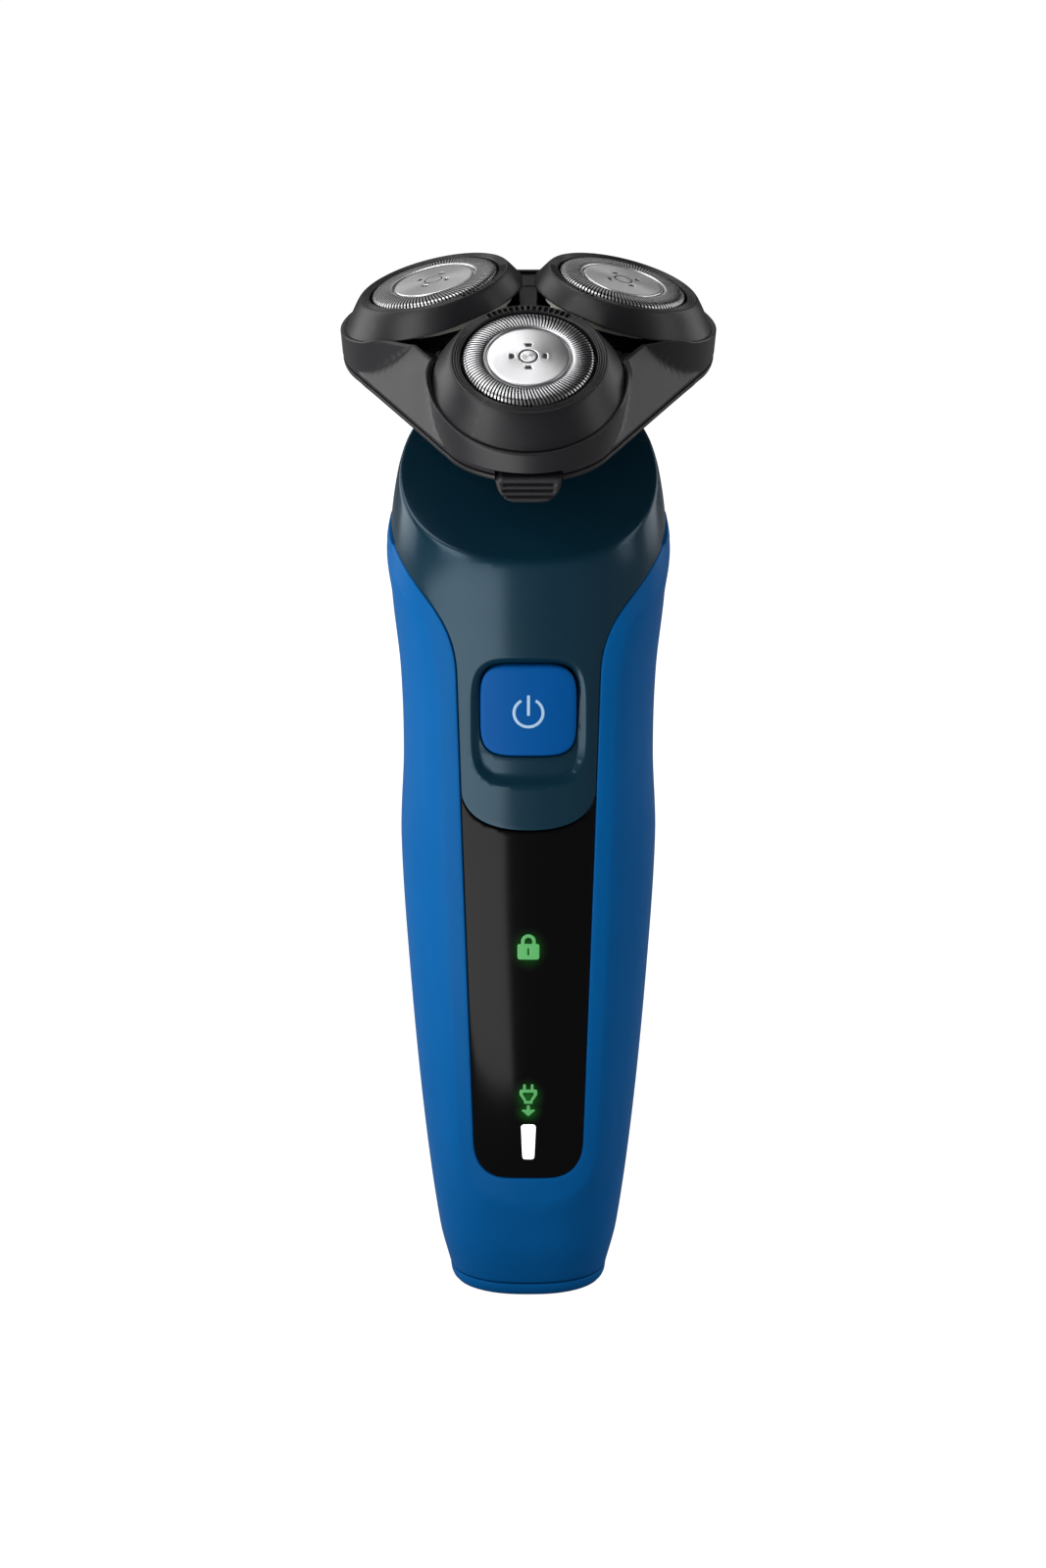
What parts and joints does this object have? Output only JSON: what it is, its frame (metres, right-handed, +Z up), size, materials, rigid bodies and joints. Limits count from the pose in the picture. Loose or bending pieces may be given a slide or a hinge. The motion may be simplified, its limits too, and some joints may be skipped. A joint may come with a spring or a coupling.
{
  "type": "rotary electric shaver",
  "caption": "Cordless rotary shaver: tapering oval handle with button and lit display, and a leaning triangular shaving unit with round flexing heads.",
  "frame": {"origin": "middle of the flat base that the handle stands on", "axes": "+Z up along the handle towards the shaving unit, -Y is the front with the button and display, +X is to the viewer's right when the front is seen"},
  "size_m": [0.0624, 0.059, 0.1755],
  "materials": {
    "blue_plastic": "satin blue",
    "petrol_plastic": "semi-gloss petrol blue",
    "window_plastic": "gloss black, lit icons behind",
    "grip": "matt dark navy grip",
    "charcoal_plastic": "satin charcoal",
    "dark_plastic": "matt",
    "natural_plastic": "natural acetal",
    "shaver_steel": "fine brushed",
    "steel": "plain",
    "brass": "plain",
    "board": "green solder mask",
    "cell_wrap": "shrink sleeve",
    "seal_rubber": "matt",
    "green_light": "lit green",
    "white_light": "lit white"
  },
  "bodies": {
    "handle": {"front_housing": "blue_plastic", "rear_housing": "grip", "upper_panel": "petrol_plastic", "display_window": "window_plastic", "lock_light": "green_light", "plug_light": "green_light", "arrow_light": "green_light", "battery_light": "white_light", "base_cap": "blue_plastic", "charging_socket": "dark_plastic", "charging_pin_left": "brass", "charging_pin_right": "brass", "circuit_board": "board", "switch_dome": "steel", "battery": "cell_wrap", "battery_tab_lower": "steel", "battery_tab_upper": "steel", "chassis": "natural_plastic", "motor": "steel", "motor_mount": "dark_plastic", "mount_screw_left": "steel", "mount_screw_right": "steel", "neck": "dark_plastic", "shaft_seal": "seal_rubber"},
    "power_button": {"power_button": "blue_plastic", "power_symbol_ring": "white_light", "power_symbol_bar": "white_light"},
    "motor_rotor": {"motor_shaft": "steel"},
    "drive_shaft": {"drive_shaft": "steel"},
    "shaving_unit": {"hair_chamber": "charcoal_plastic", "chamber_floor": "dark_plastic", "hinge_pin": "steel"},
    "latch": {"release_latch": "charcoal_plastic"},
    "sun_gear": {"sun_gear": "natural_plastic"},
    "head_holder": {"head_holder": "charcoal_plastic"},
    "planet_front": {"planet_gear_front": "natural_plastic", "spindle_front": "steel"},
    "flex_ring_front": {"flex_ring_front": "dark_plastic"},
    "head_front": {"bezel_front": "charcoal_plastic", "guard_front": "shaver_steel", "guard_cap_front": "shaver_steel", "retainer_front": "natural_plastic"},
    "cutter_front": {"cutter_front": "shaver_steel"},
    "planet_right": {"planet_gear_right": "natural_plastic", "spindle_right": "steel"},
    "flex_ring_right": {"flex_ring_right": "dark_plastic"},
    "head_right": {"bezel_right": "charcoal_plastic", "guard_right": "shaver_steel", "guard_cap_right": "shaver_steel", "retainer_right": "natural_plastic"},
    "cutter_right": {"cutter_right": "shaver_steel"},
    "planet_left": {"planet_gear_left": "natural_plastic", "spindle_left": "steel"},
    "flex_ring_left": {"flex_ring_left": "dark_plastic"},
    "head_left": {"bezel_left": "charcoal_plastic", "guard_left": "shaver_steel", "guard_cap_left": "shaver_steel", "retainer_left": "natural_plastic"},
    "cutter_left": {"cutter_left": "shaver_steel"}
  },
  "joints": [
    {"name": "power_button_press", "type": "slide", "parent": "handle", "child": "power_button", "axis": [0, 1, 0], "range_m": [0, 0.0008], "stiffness_N_per_m": 600},
    {"name": "motor_spin", "type": "hinge", "parent": "handle", "child": "motor_rotor", "pos_m": [0, 0.00477, 0.136], "axis": [0, 0, 1], "continuous": true},
    {"name": "drive_spin", "type": "hinge", "parent": "handle", "child": "drive_shaft", "pos_m": [0, 0.00477, 0.14043], "axis": [0, -0.3256, 0.9455], "continuous": true},
    {"name": "unit_pull_off", "type": "slide", "parent": "handle", "child": "shaving_unit", "axis": [0, -0.3256, 0.9455], "range_m": [0, 0.03]},
    {"name": "sun_spin", "type": "hinge", "parent": "shaving_unit", "child": "sun_gear", "pos_m": [0, -0.00012, 0.15462], "axis": [0, -0.3256, 0.9455], "continuous": true},
    {"name": "latch_press", "type": "slide", "parent": "shaving_unit", "child": "latch", "axis": [0, 0.9455, 0.3256], "range_m": [0, 0.001], "stiffness_N_per_m": 500},
    {"name": "head_open", "type": "hinge", "parent": "shaving_unit", "child": "head_holder", "pos_m": [0, 0.02336, 0.16445], "axis": [-1, 0, 0], "range_deg": [0, 95]},
    {"name": "planet_spin_front", "type": "hinge", "parent": "shaving_unit", "child": "planet_front", "pos_m": [0, -0.01524, 0.14941], "axis": [0, -0.3256, 0.9455], "continuous": true},
    {"name": "flex_in_out_front", "type": "hinge", "parent": "head_holder", "child": "flex_ring_front", "pos_m": [0, -0.01784, 0.15694], "axis": [1, 0, 0], "range_deg": [-4, 4], "stiffness_Nm_per_rad": 0.12},
    {"name": "flex_side_front", "type": "hinge", "parent": "flex_ring_front", "child": "head_front", "pos_m": [0, -0.01784, 0.15694], "axis": [0, -0.8241, -0.5664], "range_deg": [-4, 4], "stiffness_Nm_per_rad": 0.12},
    {"name": "cutter_spin_front", "type": "hinge", "parent": "head_front", "child": "cutter_front", "pos_m": [0, -0.02084, 0.16131], "axis": [0, -0.5664, 0.8241], "continuous": true},
    {"name": "planet_spin_right", "type": "hinge", "parent": "shaving_unit", "child": "planet_right", "pos_m": [0.01386, 0.00745, 0.15722], "axis": [0, -0.3256, 0.9455], "continuous": true},
    {"name": "flex_in_out_right", "type": "hinge", "parent": "head_holder", "child": "flex_ring_right", "pos_m": [0.01386, 0.00485, 0.16476], "axis": [-0.5, 0.8188, 0.282], "range_deg": [-4, 4], "stiffness_Nm_per_rad": 0.12},
    {"name": "flex_side_right", "type": "hinge", "parent": "flex_ring_right", "child": "head_right", "pos_m": [0.01386, 0.00485, 0.16476], "axis": [0.8345, 0.5426, -0.0958], "range_deg": [-4, 4], "stiffness_Nm_per_rad": 0.12},
    {"name": "cutter_spin_right", "type": "hinge", "parent": "head_right", "child": "cutter_right", "pos_m": [0.01508, 0.00386, 0.16981], "axis": [0.2314, -0.1874, 0.9546], "continuous": true},
    {"name": "planet_spin_left", "type": "hinge", "parent": "shaving_unit", "child": "planet_left", "pos_m": [-0.01386, 0.00745, 0.15722], "axis": [0, -0.3256, 0.9455], "continuous": true},
    {"name": "flex_in_out_left", "type": "hinge", "parent": "head_holder", "child": "flex_ring_left", "pos_m": [-0.01386, 0.00485, 0.16476], "axis": [-0.5, -0.8188, -0.282], "range_deg": [-4, 4], "stiffness_Nm_per_rad": 0.12},
    {"name": "flex_side_left", "type": "hinge", "parent": "flex_ring_left", "child": "head_left", "pos_m": [-0.01386, 0.00485, 0.16476], "axis": [-0.8345, 0.5426, -0.0958], "range_deg": [-4, 4], "stiffness_Nm_per_rad": 0.12},
    {"name": "cutter_spin_left", "type": "hinge", "parent": "head_left", "child": "cutter_left", "pos_m": [-0.01508, 0.00386, 0.16981], "axis": [-0.2314, -0.1874, 0.9546], "continuous": true}
  ],
  "couplings": [
    {"joint": "drive_spin", "follows": "motor_spin", "ratio": 1},
    {"joint": "sun_spin", "follows": "motor_spin", "ratio": 1},
    {"joint": "planet_spin_front", "follows": "motor_spin", "ratio": -0.6},
    {"joint": "cutter_spin_front", "follows": "motor_spin", "ratio": -0.6},
    {"joint": "planet_spin_right", "follows": "motor_spin", "ratio": -0.6},
    {"joint": "cutter_spin_right", "follows": "motor_spin", "ratio": -0.6},
    {"joint": "planet_spin_left", "follows": "motor_spin", "ratio": -0.6},
    {"joint": "cutter_spin_left", "follows": "motor_spin", "ratio": -0.6}
  ]
}
